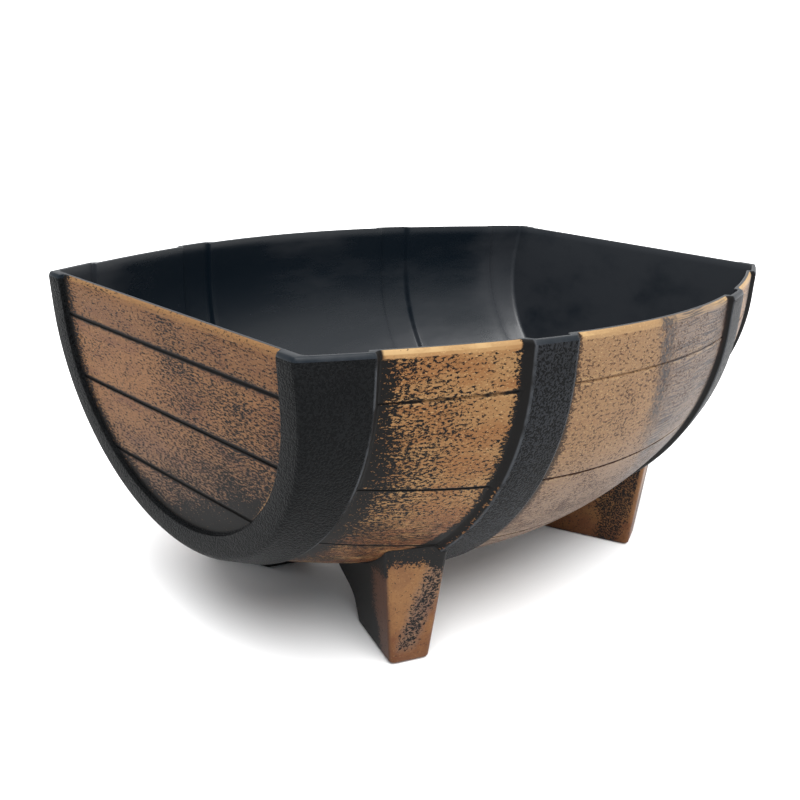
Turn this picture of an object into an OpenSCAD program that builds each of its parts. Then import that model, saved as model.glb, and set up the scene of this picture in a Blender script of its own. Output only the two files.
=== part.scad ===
// Half barrel planter: a barrel cut lengthways, moulded as one staved tub on four push-on legs.
// Millimetres. X runs along the barrel, Z is up, and the origin is on the ground below its middle.

/* [Barrel] */
// Length of the rim, over the two end rings
length = 400; // [340:5:480]
// Height of the rim above the ground
rim_height = 179; // [165:1:200]
// Stave radius at mid length, where the barrel bulges most
belly_r = 144.8; // [130:0.2:152]
// Stave radius at the ends of the rim
end_r = 93.8; // [86:0.2:104]
// How far the staves straighten towards the ends
bow = 4.6; // [0:0.2:16]
// Upright wall between the half round and the rim
upright = 17; // [8:0.5:24]
// Thickness of the moulded wall
wall = 3.5; // [2.5:0.1:4.5]

/* [Hoops] */
// How far the hoops stand proud of the staves
hoop_rise = 3; // [1.5:0.1:4]
// Width of the sloping edge of a hoop
hoop_edge = 3.5; // [2:0.1:6]
// Distance from mid length to the near edge of each middle hoop
hoop_start = 72; // [60:0.5:85]
// Width of a middle hoop
hoop_width = 30.5; // [24:0.5:40]
// Distance from mid length to the inner edge of each end hoop
end_hoop_start = 166; // [150:0.5:175]
// Width of the sloping step behind a hoop, on the inner wall
inner_edge = 1; // [0.6:0.1:2]

/* [Ends] */
// Lean of the two ends, inwards towards the bottom
lean = 6.6; // [2:0.1:10]
// Width of the ring round a barrel head
ring_width = 12; // [8:0.5:16]
// Depth of the head behind the face of its ring
head_depth = 2.3; // [1.5:0.1:6]
// Radius of the outer edge of the ring
ring_round = 3; // [1:0.1:5]
// Heights of the three planks above the lowest one, from the top down
plank_heights = [20, 32, 33.5]; // [15:0.5:38]

/* [Grooves] */
// Number of staves below the first groove, from side to side
stave_count = 8; // [6:1:12]
// Angle below the half round's edge of the first groove
first_groove = 2.5; // [1:0.5:8]
// Width of a groove between staves
groove_width = 1.3; // [0.8:0.1:2]
// Depth of a groove between staves
groove_depth = 0.8; // [0.4:0.1:1.2]
// Width of a groove between the planks of a head
plank_groove = 1.8; // [1:0.1:2.4]

/* [Rim] */
// Width of the rim's outer bevel
rim_bevel_w = 1.2; // [0.6:0.1:1.8]
// Height of the rim's outer bevel
rim_bevel_h = 2; // [1.5:0.1:4]

/* [Drain] */
// Diameter of a drain hole
drain_d = 8; // [5:0.5:12]
// Distance of the outer drain holes from mid length
drain_x = 45; // [30:1:60]
// Distance of the outer drain holes from the centre line
drain_y = 22; // [15:1:30]

/* [Legs] */
// Place of a leg's front face at the ground, along the barrel
leg_x = 107.1; // [95:0.5:115]
// Place of a leg's front face at the ground, across the barrel
leg_y = 82.8; // [76:0.2:88]
// Turn of a leg in plan, so that its front follows the side of the barrel
leg_turn = 21.4; // [10:0.2:30]
// Width of a foot
foot_width = 22; // [18:0.5:28]
// Length of a foot, on its centre line
foot_length = 51; // [40:0.5:56]
// How much longer a foot is on its inner side than on its outer one
foot_skew = 14; // [0:0.5:20]
// Radius of a leg's upright edges
leg_round = 3; // [1.5:0.1:4]
// Wall of a hollow leg
leg_wall = 2.5; // [2:0.1:3.5]
// Gap between a leg and the tub that it carries
seat_gap = 0.2; // [0.1:0.05:0.5]
// Gap between the ribs under the tub and the inside of a leg
fit_gap = 0.3; // [0.2:0.05:0.6]
// Thickness of those ribs
rib = 2.4; // [1.6:0.1:3]
// Height of the lower edge of those ribs above the ground
rib_bottom = 24; // [20:0.5:27]

/* [Hidden] */
$fn = 96;

half_length = length / 2;
axis_z = rim_height - upright;
hoop_end = hoop_start + hoop_width;
end_reach = half_length + 4;
big = 4 * belly_r;

// The inner steps lie one wall's thickness behind the outer ones
step_inset = hoop_edge - inner_edge + wall * 0.4;

// How far a groove between staves runs into the sloping edge of a hoop
groove_end = 0.6;

// Rise of a leg's sides for each millimetre of height: outer side, inner side and front
draft_outer = 0.119;
draft_inner = 0.067;
draft_front = 0.07;
// Heights on a leg, with how far its back end has run out at each of them
leg_back = [[0, 0], [6, 1.5], [15, 5], [19, 12], [23, 27]];
leg_top = axis_z * 0.55;

function ramp(t) = min(1, max(0, t));

// Stave surface of the whole barrel, as a radius at each place along it
function stave_r(x) =
    let (u = x / half_length, v = u * u)
    end_r + (belly_r - end_r + bow) * (1 - v) - bow * (1 - v * v);

// 1 on a hoop, 0 between hoops and in between on a hoop's sloping edge
function hoop_share(x, start, end, last, edge) =
    let (a = abs(x))
    max(min(ramp((a - start) / edge), ramp((end - a) / edge)), ramp((a - last) / edge));

function outer_r(x) =
    stave_r(x) + hoop_rise * hoop_share(x, hoop_start, hoop_end, end_hoop_start, hoop_edge);

function inner_r(x) =
    stave_r(x) - wall + hoop_rise * hoop_share(x, hoop_start + step_inset,
        hoop_end - step_inset, end_hoop_start + step_inset - inner_edge, inner_edge);

function steps(a, b, n) = [for (i = [0 : n - 1]) a + (b - a) * i / n];

// Places along one half of the barrel where its outline turns a little
function half_places(start, end, last, edge) = concat(
    steps(0, start, 7), [start],
    steps(start + edge, end - edge, 3), [end - edge],
    steps(end, last, 6), [last],
    steps(last + edge, end_reach, 3), [end_reach]);

function mirrored(list) =
    concat([for (i = [len(list) - 1 : -1 : 1]) -list[i]], list);

outer_places = mirrored(half_places(hoop_start, hoop_end, end_hoop_start, hoop_edge));
inner_places = mirrored(half_places(hoop_start + step_inset, hoop_end - step_inset,
    end_hoop_start + step_inset - inner_edge, inner_edge));

outer_profile = [for (x = outer_places) [outer_r(x), x]];
inner_profile = [for (x = inner_places) [inner_r(x), x]];

// The end ring's outline on its leaning plane is very nearly an arc, centred below the axis
ring_axis_x = half_length - tan(lean) * upright;
ring_low_x = half_length - tan(lean) * (upright + outer_r(ring_axis_x));
ring_r = outer_r(ring_axis_x);
ring_drop = outer_r(ring_low_x) / cos(lean) - ring_r;
ring_centre = -upright / cos(lean) - ring_drop;
head_r = ring_r - ring_width;

// Turns a [radius, place] profile half way round below the barrel's axis
module half_turn(profile) {
    rotate([-90, 0, 0])
        rotate([0, 90, 0])
            rotate_extrude(angle = 180, $fn = 180)
                polygon(concat([[0, profile[0][1]]], profile,
                    [[0, profile[len(profile) - 1][1]]]));
}

// The same profile carried straight up from the axis
module upright_wall(profile, height) {
    linear_extrude(height = height)
        polygon(concat([for (p = profile) [p[1], p[0]]],
            [for (i = [len(profile) - 1 : -1 : 0]) [profile[i][1], -profile[i][0]]]));
}

module trough(profile, height) {
    half_turn(profile);
    upright_wall(profile, height);
}

// Slab that carries the bevel round the long sides of the rim
module bevelled_slab() {
    n = len(outer_places);
    low = rim_height - rim_bevel_h;
    points = [for (level = [0, 1], side = [-1, 1], x = outer_places)
        [x, side * (outer_r(x) - level * rim_bevel_w), low + level * rim_bevel_h]];
    strip = [for (i = [0 : n - 2]) each [
        [i, i + 1, n + i + 1, n + i],
        [2 * n + i, 3 * n + i, 3 * n + i + 1, 2 * n + i + 1],
        [i, 2 * n + i, 2 * n + i + 1, i + 1],
        [n + i, n + i + 1, 3 * n + i + 1, 3 * n + i]]];
    caps = [[0, n, 3 * n, 2 * n], [n - 1, 3 * n - 1, 4 * n - 1, 2 * n - 1]];
    polyhedron(points = points, faces = concat(strip, caps));
}

// Places its children on the right-hand end plane: X outwards, Z up along the lean, from the rim
module on_end() {
    translate([half_length, 0, rim_height])
        rotate([0, lean, 0])
            children();
}

module both_ends() {
    for (side = [0, 1])
        mirror([side, 0, 0])
            children();
}

// D-shaped block between two depths behind the end plane, open upwards
module end_block(profile) {
    translate([0, 0, ring_centre])
        trough(profile, -ring_centre + 40);
}

module beyond_end(depth) {
    on_end()
        translate([-depth, -big / 2, -big])
            cube([big, big, 2 * big]);
}

// Rounds the outer edge of an end ring
module ring_rounding() {
    slope = (outer_r(half_length - 10) - outer_r(half_length)) / 10;
    arc = [for (a = [0 : 18 : 90])
        [ring_r - ring_round + ring_round * (1 + slope) * sin(a) + 0.02,
            -ring_round * (1 - cos(a))]];
    profile = concat([[ring_r - ring_round, 2]], arc, [[arc[5][0] + slope, arc[5][1] - 1]]);
    on_end()
        difference() {
            translate([-ring_round, -big / 2, -big / 2])
                cube([ring_round + 1, big, big]);
            end_block(profile);
        }
}

// Recess that leaves the ring standing round the head
module head_recess() {
    on_end()
        end_block([[head_r, -head_depth], [head_r, 10]]);
}

module plank_grooves() {
    for (i = [0 : len(plank_heights) - 1]) {
        sum = [for (j = 0, s = plank_heights[0]; j <= i; j = j + 1,
            s = s + (j < len(plank_heights) ? plank_heights[j] : 0)) s];
        on_end()
            translate([-head_depth, 0, -sum[i] / cos(lean)])
                rotate([0, 45, 0])
                    cube([plank_groove / sqrt(2), 2 * head_r - 1, plank_groove / sqrt(2)],
                        center = true);
    }
}

// Wedge that bevels the top edge of an end at a given place, over a given width
module end_bevel(x, width) {
    rotate([90, 0, 0])
        linear_extrude(height = width, center = true)
            polygon([
                [x - 1.5 * rim_bevel_w, rim_height + 0.5 * rim_bevel_h],
                [x + 0.5 * rim_bevel_w, rim_height - 1.5 * rim_bevel_h],
                [x + 10, rim_height - 1.5 * rim_bevel_h],
                [x + 10, rim_height + 0.5 * rim_bevel_h]]);
}

// Grooves between the staves, on the panels between the hoops
module stave_grooves() {
    pitch = (180 - 2 * first_groove) / stave_count;
    panels = [[-end_hoop_start, -hoop_end], [-hoop_start, hoop_start],
        [hoop_end, end_hoop_start]];
    for (i = [0 : stave_count], p = panels) {
        turn = groove_width / belly_r * 180 / PI;
        places = concat(steps(p[0] - groove_end, p[1] + groove_end, 6), [p[1] + groove_end]);
        band = concat([for (x = places) [stave_r(x) - groove_depth, x]],
            [for (j = [len(places) - 1 : -1 : 0]) [stave_r(places[j]) + 2, places[j]]]);
        translate([0, 0, axis_z])
            rotate([-90, 0, 0])
                rotate([0, 90, 0])
                    rotate([0, 0, first_groove + i * pitch - turn / 2])
                        rotate_extrude(angle = turn, $fn = 720)
                            polygon(band);
    }
}

module drain_holes() {
    places = concat([[0, 0]], [for (x = [-1, 1], y = [-1, 1]) [x * drain_x, y * drain_y]]);
    for (p = places)
        translate([p[0], p[1], axis_z - belly_r - 5])
            cylinder(d = drain_d, h = belly_r / 3, $fn = 48);
}

// Space inside the tub, between the two heads
module cavity() {
    difference() {
        translate([0, 0, axis_z])
            trough(inner_profile, upright + 10);
        both_ends()
            beyond_end(head_depth + wall);
    }
}

// Places its children on the leg at the back right: X along its front face, Y outwards
module at_leg() {
    translate([leg_x, leg_y, 0])
        rotate([0, 0, -leg_turn])
            children();
}

module four_legs() {
    for (x = [0, 1], y = [0, 1])
        mirror([x, 0, 0])
            mirror([0, y, 0])
                children();
}

// Side and front limits of a leg at a height, drawn in by a given inset
function leg_outer(z, inset) = foot_width / 2 + draft_outer * z - inset;
function leg_inner(z, inset) = -foot_width / 2 - draft_inner * z + inset;
function leg_front(z, inset) = draft_front * z - inset;

// Four thin discs at the corners of a leg's section, with how far its back has run out
module leg_corners(z, back, inset, round) {
    outer = leg_outer(z, inset) - round;
    inner = leg_inner(z, inset) + round;
    front = leg_front(z, inset) - round;
    outer_back = -foot_length + foot_skew / 2 - back + inset + round;
    inner_back = -foot_length - foot_skew / 2 - back + inset + round;
    for (p = [[outer, front], [inner, front], [outer, outer_back], [inner, inner_back]])
        translate([p[0], p[1], z])
            cylinder(r = round, h = 0.01, $fn = 24);
}

// Outer form of a leg before it is cut to the barrel
module leg_form() {
    hull() {
        leg_corners(0, -1.4, 1.6, leg_round - 1.6 + 0.4);
        leg_corners(0.6, -0.4, 0.6, leg_round - 0.6);
        leg_corners(2.4, leg_back[1][1] * 0.4, 0, leg_round);
        leg_corners(leg_back[1][0], leg_back[1][1], 0, leg_round);
    }
    for (i = [1 : 3])
        hull() {
            leg_corners(leg_back[i][0], leg_back[i][1], 0, leg_round);
            leg_corners(leg_back[i + 1][0], leg_back[i + 1][1], 0, leg_round);
        }
    hull() {
        leg_corners(leg_back[4][0], leg_back[4][1], 0, leg_round);
        leg_corners(leg_top, leg_back[4][1], 0, leg_round);
    }
}

// Hollow of a leg, open towards the barrel
module leg_hollow() {
    high = leg_top + 5;
    intersection() {
        translate([0, 30, 0])
            rotate([90, 0, 0])
                linear_extrude(height = foot_length + 90)
                    polygon([
                        [leg_inner(leg_wall, leg_wall), leg_wall],
                        [leg_outer(leg_wall, leg_wall), leg_wall],
                        [leg_outer(high, leg_wall), high],
                        [leg_inner(high, leg_wall), high]]);
        translate([-60, 0, 0])
            rotate([90, 0, 90])
                linear_extrude(height = 120)
                    polygon([
                        [leg_front(leg_wall, leg_wall), leg_wall],
                        [leg_front(high, leg_wall), high],
                        [hollow_back, high],
                        [hollow_back, leg_wall]]);
    }
}

hollow_back = -foot_length + foot_skew / 2 + leg_wall + 1;

// Ribs under the tub that a leg is pushed onto: two across it and one along it
module leg_ribs() {
    high = axis_z - outer_r(leg_x) + 60;
    inset = leg_wall + fit_gap;
    for (share = [0.22, 0.72])
        translate([0, share * hollow_back + rib / 2, 0])
            rotate([90, 0, 0])
                linear_extrude(height = rib)
                    polygon([
                        [leg_inner(rib_bottom, inset), rib_bottom],
                        [leg_outer(rib_bottom, inset), rib_bottom],
                        [leg_outer(high, inset), high],
                        [leg_inner(high, inset), high]]);
    translate([-rib / 2, 0, 0])
        rotate([90, 0, 90])
            linear_extrude(height = rib)
                polygon([
                    [leg_front(rib_bottom, inset), rib_bottom],
                    [leg_front(high, inset), high],
                    [hollow_back + fit_gap, high],
                    [hollow_back + fit_gap, rib_bottom]]);
}

module tub() {
    color("#2b2d30")
        difference() {
            union() {
                translate([0, 0, axis_z])
                    trough(outer_profile, upright - rim_bevel_h);
                bevelled_slab();
                intersection() {
                    four_legs()
                        at_leg()
                            leg_ribs();
                    translate([-half_length, -belly_r, 0])
                        cube([length, 2 * belly_r, axis_z - belly_r / 2]);
                }
            }
            both_ends() {
                beyond_end(0);
                ring_rounding();
                head_recess();
                plank_grooves();
                end_bevel(half_length, 2 * belly_r);
                end_bevel(half_length - head_depth / cos(lean), 2 * head_r - 1);
            }
            stave_grooves();
            cavity();
            drain_holes();
        }
}

module leg() {
    color("#8a5a35")
        difference() {
            at_leg()
                leg_form();
            at_leg()
                leg_hollow();
            translate([0, 0, axis_z])
                half_turn([for (p = outer_profile) [p[0] + seat_gap, p[1]]]);
        }
}

module leg_front_left() { mirror([1, 0, 0]) mirror([0, 1, 0]) leg(); }
module leg_front_right() { mirror([0, 1, 0]) leg(); }
module leg_back_left() { mirror([1, 0, 0]) leg(); }
module leg_back_right() { leg(); }

tub();
leg_front_left();
leg_front_right();
leg_back_left();
leg_back_right();
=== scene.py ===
import bpy
import bmesh
from math import sin, cos, tan, atan2, hypot, pi, radians
from mathutils import Vector, Matrix


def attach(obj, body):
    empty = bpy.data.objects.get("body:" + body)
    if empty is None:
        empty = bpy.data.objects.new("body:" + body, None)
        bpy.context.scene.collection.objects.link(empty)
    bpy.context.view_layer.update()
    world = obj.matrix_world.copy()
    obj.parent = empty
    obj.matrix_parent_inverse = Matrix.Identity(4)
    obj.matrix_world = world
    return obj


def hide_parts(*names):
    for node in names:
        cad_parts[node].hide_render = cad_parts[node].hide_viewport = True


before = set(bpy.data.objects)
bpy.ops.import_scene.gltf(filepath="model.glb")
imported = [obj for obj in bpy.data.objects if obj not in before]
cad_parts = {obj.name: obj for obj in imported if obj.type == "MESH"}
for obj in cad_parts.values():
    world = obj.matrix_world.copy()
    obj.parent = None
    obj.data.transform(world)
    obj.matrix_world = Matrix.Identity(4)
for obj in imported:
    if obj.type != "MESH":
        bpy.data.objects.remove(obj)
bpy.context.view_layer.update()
print("frame loaded:", ", ".join(sorted(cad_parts)))

# The barrel's own sizes in metres, as the solids have them
barrel = dict(
    halfLength=0.2,  # half the length of the rim
    rim=0.179,  # height of the rim
    upright=0.017,  # straight wall above the half round
    bellyRadius=0.1448,  # stave radius at mid length
    endRadius=0.0938,  # stave radius at the ends
    bow=0.0046,  # how far the staves straighten towards the ends
    wall=0.0035,
    hoopRise=0.003, hoopEdge=0.0035,
    hoopStart=0.072, hoopEnd=0.1025, endHoopStart=0.166,
    innerEdge=0.001,  # width of the step behind a hoop
    innerShift=0.4,  # how far that step is shifted, as a share of the wall
    lean=6.6,  # lean of the ends in degrees
    softness=0.0007,  # rounding of the hoops' corners
    grainRadius=0.13)  # radius at which the grain is unrolled
axisZ = barrel["rim"] - barrel["upright"]
leanCos, leanTan = cos(radians(barrel["lean"])), tan(radians(barrel["lean"]))
hoopInset = barrel["hoopEdge"] - barrel["innerEdge"] + barrel["wall"] * barrel["innerShift"]
perMetre = 1000  # the paints are laid out in millimetres


def inPaint(*names):
    # sizes of the barrel in millimetres
    return [barrel[name] * perMetre for name in names]


def staveRadius(x):
    share = (x / barrel["halfLength"]) ** 2
    end, belly, bow = barrel["endRadius"], barrel["bellyRadius"], barrel["bow"]
    return end + (belly - end + bow) * (1 - share) - bow * (1 - share * share)


def clampShare(t):
    return min(1.0, max(0.0, t))


def softened(curve, place, reach):
    # the mean of a curve over a short stretch, which rounds its corners
    samples = [curve(place + k * reach / 3) for k in range(-3, 4)]
    return sum(samples) / len(samples)


def hoopShare(x, start, end, last, edge):
    # 1 on a hoop, 0 between hoops
    def sharp(a):
        middle = min(clampShare((a - start) / edge), clampShare((end - a) / edge))
        return max(middle, clampShare((a - last) / edge))
    return softened(sharp, abs(x), barrel["softness"])


def outerRadius(x):
    b = barrel
    return staveRadius(x) + b["hoopRise"] * hoopShare(
        x, b["hoopStart"], b["hoopEnd"], b["endHoopStart"], b["hoopEdge"])


def innerRadius(x):
    b = barrel
    return staveRadius(x) - b["wall"] + b["hoopRise"] * hoopShare(
        x, b["hoopStart"] + hoopInset, b["hoopEnd"] - hoopInset,
        b["endHoopStart"] + hoopInset - b["innerEdge"], b["innerEdge"])


def fromHoop(x):
    # distance along the barrel to the nearest hoop, below 0 on a hoop
    a = abs(x)
    return max(barrel["hoopStart"] - a, min(a - barrel["hoopEnd"], barrel["endHoopStart"] - a))


# Mesh helpers, and how near counts as the same place
nearness = dict(merge=1e-6, cut=1e-7, height=1e-5)
sharpAngle = 35  # edges that turn by more degrees stay crisp


def vertsIn(geometry):
    return [g for g in geometry if isinstance(g, bmesh.types.BMVert)]


def edgesIn(geometry):
    return [g for g in geometry if isinstance(g, bmesh.types.BMEdge)]


def rowOf(bm, points):
    verts = [bm.verts.new(p) for p in points]
    edges = [bm.edges.new(pair) for pair in zip(verts, verts[1:])]
    return verts, edges


def extrudeRow(bm, verts, edges, places):
    # extrudes a row of edges and puts its new verts at the given places, in the old order
    made = bmesh.ops.extrude_edge_only(bm, edges=edges)["geom"]
    fresh = set(vertsIn(made))
    row = [next(e.other_vert(v) for e in v.link_edges if e.other_vert(v) in fresh) for v in verts]
    rowEdges = [e for e in edgesIn(made) if set(e.verts) <= fresh]
    for v, place in zip(row, places):
        v.co = place
    return row, rowEdges


def placesAlong(zones, reach, coarse, fine):
    # places from one end of the barrel to the other, closer together over each hoop's edge
    places = [0.0]
    for start, end in zones + [(reach, reach)]:
        for goal, step in ((start, coarse), (end, fine)):
            gap = goal - places[-1]
            if gap > nearness["merge"]:
                count = max(1, round(gap / step))
                places += [places[-1] + gap / count * (i + 1) for i in range(count)]
    return [-p for p in reversed(places[1:])] + places


# The numbers that faces carry while the tub is made, in the order of its finishes
faceNumbers = dict(staves=1, grained=2, head=3, smooth=4, rim=5)


def nameFaces(bm, finish):
    # gives a finish to the faces that have none yet
    for face in bm.faces:
        if face.material_index == 0:
            face.material_index = faceNumbers[finish]


def meshFrom(bm, name):
    mesh = bpy.data.meshes.new(name)
    bm.to_mesh(mesh)
    bm.free()
    return mesh


def putInScene(name, data):
    thing = bpy.data.objects.new(name, data)
    bpy.context.scene.collection.objects.link(thing)
    return thing


def finishPiece(bm, name, materials, nodes):
    bmesh.ops.remove_doubles(bm, verts=bm.verts[:], dist=nearness["merge"])
    bmesh.ops.recalc_face_normals(bm, faces=bm.faces[:])
    for face in bm.faces:
        face.smooth = True
        face.material_index = max(0, face.material_index - 1)
    mesh = meshFrom(bm, name)
    mesh.set_sharp_from_angle(angle=radians(sharpAngle))
    piece = putInScene(name, mesh)
    for material in materials:
        mesh.materials.append(material)
    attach(piece, "root")
    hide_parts(*nodes)
    print(name, "has", len(mesh.polygons), "faces")
    return piece


# Shader helpers

class Wire:
    # a socket that can be used in sums
    def __init__(self, maker, socket):
        self.maker, self.socket = maker, socket

    def __add__(self, other):
        return self.maker.maths("ADD", self, other)

    def __radd__(self, other):
        return self.maker.maths("ADD", other, self)

    def __sub__(self, other):
        return self.maker.maths("SUBTRACT", self, other)

    def __rsub__(self, other):
        return self.maker.maths("SUBTRACT", other, self)

    def __mul__(self, other):
        return self.maker.maths("MULTIPLY", self, other)

    def __rmul__(self, other):
        return self.maker.maths("MULTIPLY", other, self)

    def __truediv__(self, other):
        return self.maker.maths("DIVIDE", self, other)

    def __rtruediv__(self, other):
        return self.maker.maths("DIVIDE", other, self)

    def __abs__(self):
        return self.maker.maths("ABSOLUTE", self)


class NodeMaker:
    # adds nodes to a tree one by one, and feeds them to its shader
    def __init__(self, tree, shader):
        self.tree, self.shader = tree, tree.nodes[shader]

    def fill(self, socket, value):
        if isinstance(value, Wire):
            self.tree.links.new(value.socket, socket)
        else:
            socket.default_value = value

    def node(self, kind, settings, values, output=0):
        made = self.tree.nodes.new("ShaderNode" + kind)
        for key, value in settings.items():
            setattr(made, key, value)
        for key, value in values.items():
            self.fill(made.inputs[key], value)
        return Wire(self, made.outputs[output])

    def feed(self, socket, value):
        self.fill(self.shader.inputs[socket], value)

    def maths(self, operation, a, b=0):
        return self.node("Math", dict(operation=operation), {0: a, 1: b})

    def larger(self, a, b):
        return self.maths("MAXIMUM", a, b)

    def smaller(self, a, b):
        return self.maths("MINIMUM", a, b)

    def rise(self, value, start, end):
        # 0 before start, 1 after end, soft in between
        return self.node("MapRange", dict(interpolation_type="SMOOTHSTEP"),
                         {"Value": value, "From Min": start, "From Max": end})

    def mixed(self, share, a, b):
        # a and b are colours or their names; a Mix node takes them at 6 and 7, and gives one at 2
        a, b = colours.get(a, a), colours.get(b, b)
        return self.node("Mix", dict(data_type="RGBA"), {0: share, 6: a, 7: b}, output=2)


class Finish(NodeMaker):
    # a material, and what the paints are made with; every look gives its gloss and its bump
    def __init__(self, name, look):
        self.material, self.look = bpy.data.materials.new(name), look
        self.material.use_nodes = True
        super().__init__(self.material.node_tree, "Principled BSDF")
        self.feed("Specular IOR Level", look["gloss"])

    def done(self, colour, roughness, height):
        self.feed("Base Color", colour)
        self.feed("Roughness", roughness)
        bump = {"Height": height, "Distance": self.look["thickness"], "Strength": self.look["bump"]}
        self.feed("Normal", self.node("Bump", {}, bump))
        return self.material

    def stretched(self, coords, scale, shift=(0, 0, 0)):
        return self.node("Mapping", {}, {"Vector": coords, "Scale": scale, "Location": shift})

    def noise(self, coords, scale=1.0, detail=3, rough=0.5):
        return self.node("TexNoise", {}, {"Vector": coords, "Scale": scale,
                                          "Detail": detail, "Roughness": rough})

    def streaks(self, coords, scale, shift=(0, 0, 0), detail=3, rough=0.5):
        # noise with a scale of its own each way
        return self.noise(self.stretched(coords, scale, shift), 1.0, detail, rough)

    def ragged(self, coords):
        # lays out what moves outlines in and out, from -0.5 to 0.5
        self.fray = self.noise(coords, self.look["raggedScale"], 4, 0.7) - 0.5

    def span(self, name, value):
        # a rise over one of the look's spans; a third number there is how ragged it is
        start, full, *reach = self.look[name]
        return self.rise(value + self.fray * reach[0] if reach else value, start, full)

    def parts(self, vector):
        split = self.node("SeparateXYZ", {}, {0: vector})
        outputs = split.socket.node.outputs
        return [Wire(self, outputs[i]) for i in range(3)]

    def inMillimetres(self):
        place = self.node("TexCoord", {}, {}, output="Object")
        return self.stretched(place, (perMetre, perMetre, perMetre))

    def grainMap(self):
        # along and around the barrel, or across and up a head, in millimetres
        place = self.node("UVMap", dict(uv_map="grain"), {})
        return self.stretched(place, (perMetre, perMetre, perMetre))

    def attribute(self, name):
        # a length that the mesh carries, in millimetres
        return self.node("Attribute", dict(attribute_name=name), {}, output="Fac") * perMetre


# Colours are linear
colours = dict(
    charcoal=(0.0040, 0.0037, 0.0036, 1),
    slate=(0.0062, 0.0068, 0.0073, 1),
    # paler hoop plastic: dust, and at the right end a painted glare
    slateDustAndSheen=(0.0190, 0.0205, 0.0235, 1),
    pit=(0.0028, 0.0031, 0.0034, 1),
    # lighter grey: scuffs on the rim's top, a painted highlight on the hoops' crests, a painted
    # glare at the right end
    scuffAndHighlight=(0.0420, 0.0450, 0.0500, 1),
    smudge=(0.022, 0.025, 0.031, 1),
    inside=(0.0018, 0.0046, 0.0080, 1),
    # the inside, paler towards the ends, and low down as a painted reflection
    insideWornAndSheen=(0.0150, 0.0172, 0.0210, 1),
    copper=(0.156, 0.071, 0.026, 1),
    tan=(0.192, 0.106, 0.044, 1),
    cream=(0.360, 0.235, 0.110, 1),
    # the gold of the painted highlight along the rim's bevel
    bare=(0.310, 0.202, 0.096, 1),
    # a pale greyish tone: dust, and on the middle panel a painted sheen
    dustAndSheen=(0.112, 0.090, 0.079, 1),
    rust=(0.098, 0.036, 0.015, 1),
    brown=(0.052, 0.022, 0.012, 1))

# How the worm-like specks lie in the paint, in millimetres
specks = dict(
    length=1.15, height=0.78,  # size of a bend in a worm along and across the grain
    breakLength=2.1, breakHeight=1.2,  # size of the gaps between worms
    breakDepth=0.66,  # how much the worms come and go
    least=-0.085, most=0.33,  # half width of the black at full paint and at none
    edge=(-0.012, 0.030))  # softness of a worm's edge


def lifted(least, share):
    # turns a share from 0 to 1 into one from least to 1
    return least + (1 - least) * share


def speckled(f, coords, share, seed, size=1.0):
    # 1 where the paint has taken; share is how much paint there is, 0 to 1
    def layer(length, height, shift, detail, rough):
        across = 1 / specks[height] / size
        return f.streaks(coords, (1 / specks[length] / size, across, across), shift, detail, rough)
    bends = layer("length", "height", (seed, seed * 0.6, 0), 2, 0.55)
    breaks = layer("breakLength", "breakHeight", (seed * 1.7, 3, 5), 1, 0.5)
    width = specks["most"] - (specks["most"] - specks["least"]) * share
    black = width + specks["breakDepth"] * (breaks - 0.5)
    return f.rise(abs(bends - 0.5) - black, *specks["edge"])


# Long lines along the grain, in groups
hairs = dict(groupScale=(0.018, 0.07, 1), grouping=0.55, covering=0.25, edge=(0.55, 0.66))


def hairlines(f, coords, kind, more):
    # cover is how many there are, 0 to 1; more is what is added to it from place to place
    width, length, seed, cover = kind
    line = f.streaks(coords, (1 / length, 1 / width, 1), (seed, seed * 0.7, 0), 2, 0.6)
    group = f.streaks(coords, hairs["groupScale"], (seed * 1.3, seed, 0), 2)
    line = line + (group - 0.5) * hairs["grouping"] + (cover + more - 1) * hairs["covering"]
    return f.rise(line, *hairs["edge"])


# Fine grit, and pale flecks where the brush caught the grain
grit = dict(scale=(0.7, 1.2, 1), span=(0.50, 0.72), strength=0.5,
            fleckScale=(0.8, 1.1, 1), fleckSpan=(0.62, 0.70))


def brushTone(f, grain, colour, seed, flecks):
    dark = f.streaks(grain, grit["scale"], (seed, 0, 0), 2, 0.6)
    colour = f.mixed(f.rise(dark, *grit["span"]) * grit["strength"], colour, "rust")
    pale = f.streaks(grain, grit["fleckScale"], (seed, 9, 0), 1)
    return f.mixed(f.rise(pale, *grit["fleckSpan"]) * flecks, colour, "cream")


# The crest of each hoop's edge is painted a lighter grey: a painted highlight, partly wear
crestHighlight = dict(width=(0.25, 0.9), scale=0.06, broken=(0.30, 0.60), strength=0.8)


def crestHighlightAndWear(f, a, colour):
    # a is the distance from mid length
    hoopStart, hoopEnd, endHoop, edge = inPaint("hoopStart", "hoopEnd", "endHoopStart", "hoopEdge")
    crest = f.smaller(abs(a - hoopStart - edge), abs(a - hoopEnd + edge))
    crest = f.smaller(crest, abs(a - endHoop - edge))
    broken = f.noise(f.inMillimetres(), crestHighlight["scale"], 3, 0.6)
    worn = (1 - f.rise(crest, *crestHighlight["width"])) * f.rise(broken, *crestHighlight["broken"])
    return f.mixed(worn * crestHighlight["strength"], colour, "scuffAndHighlight")


# The rim's bevel and the painted band below it, from and to so far below the rim
rimPaint = dict(bevel=(2.0, 1.6), band=(3.8, 3.1))


def belowRim(f, z, kind):
    rimTop, = inPaint("rim")
    start, full = rimPaint[kind]
    return f.rise(z, rimTop - start, rimTop - full)


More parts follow.
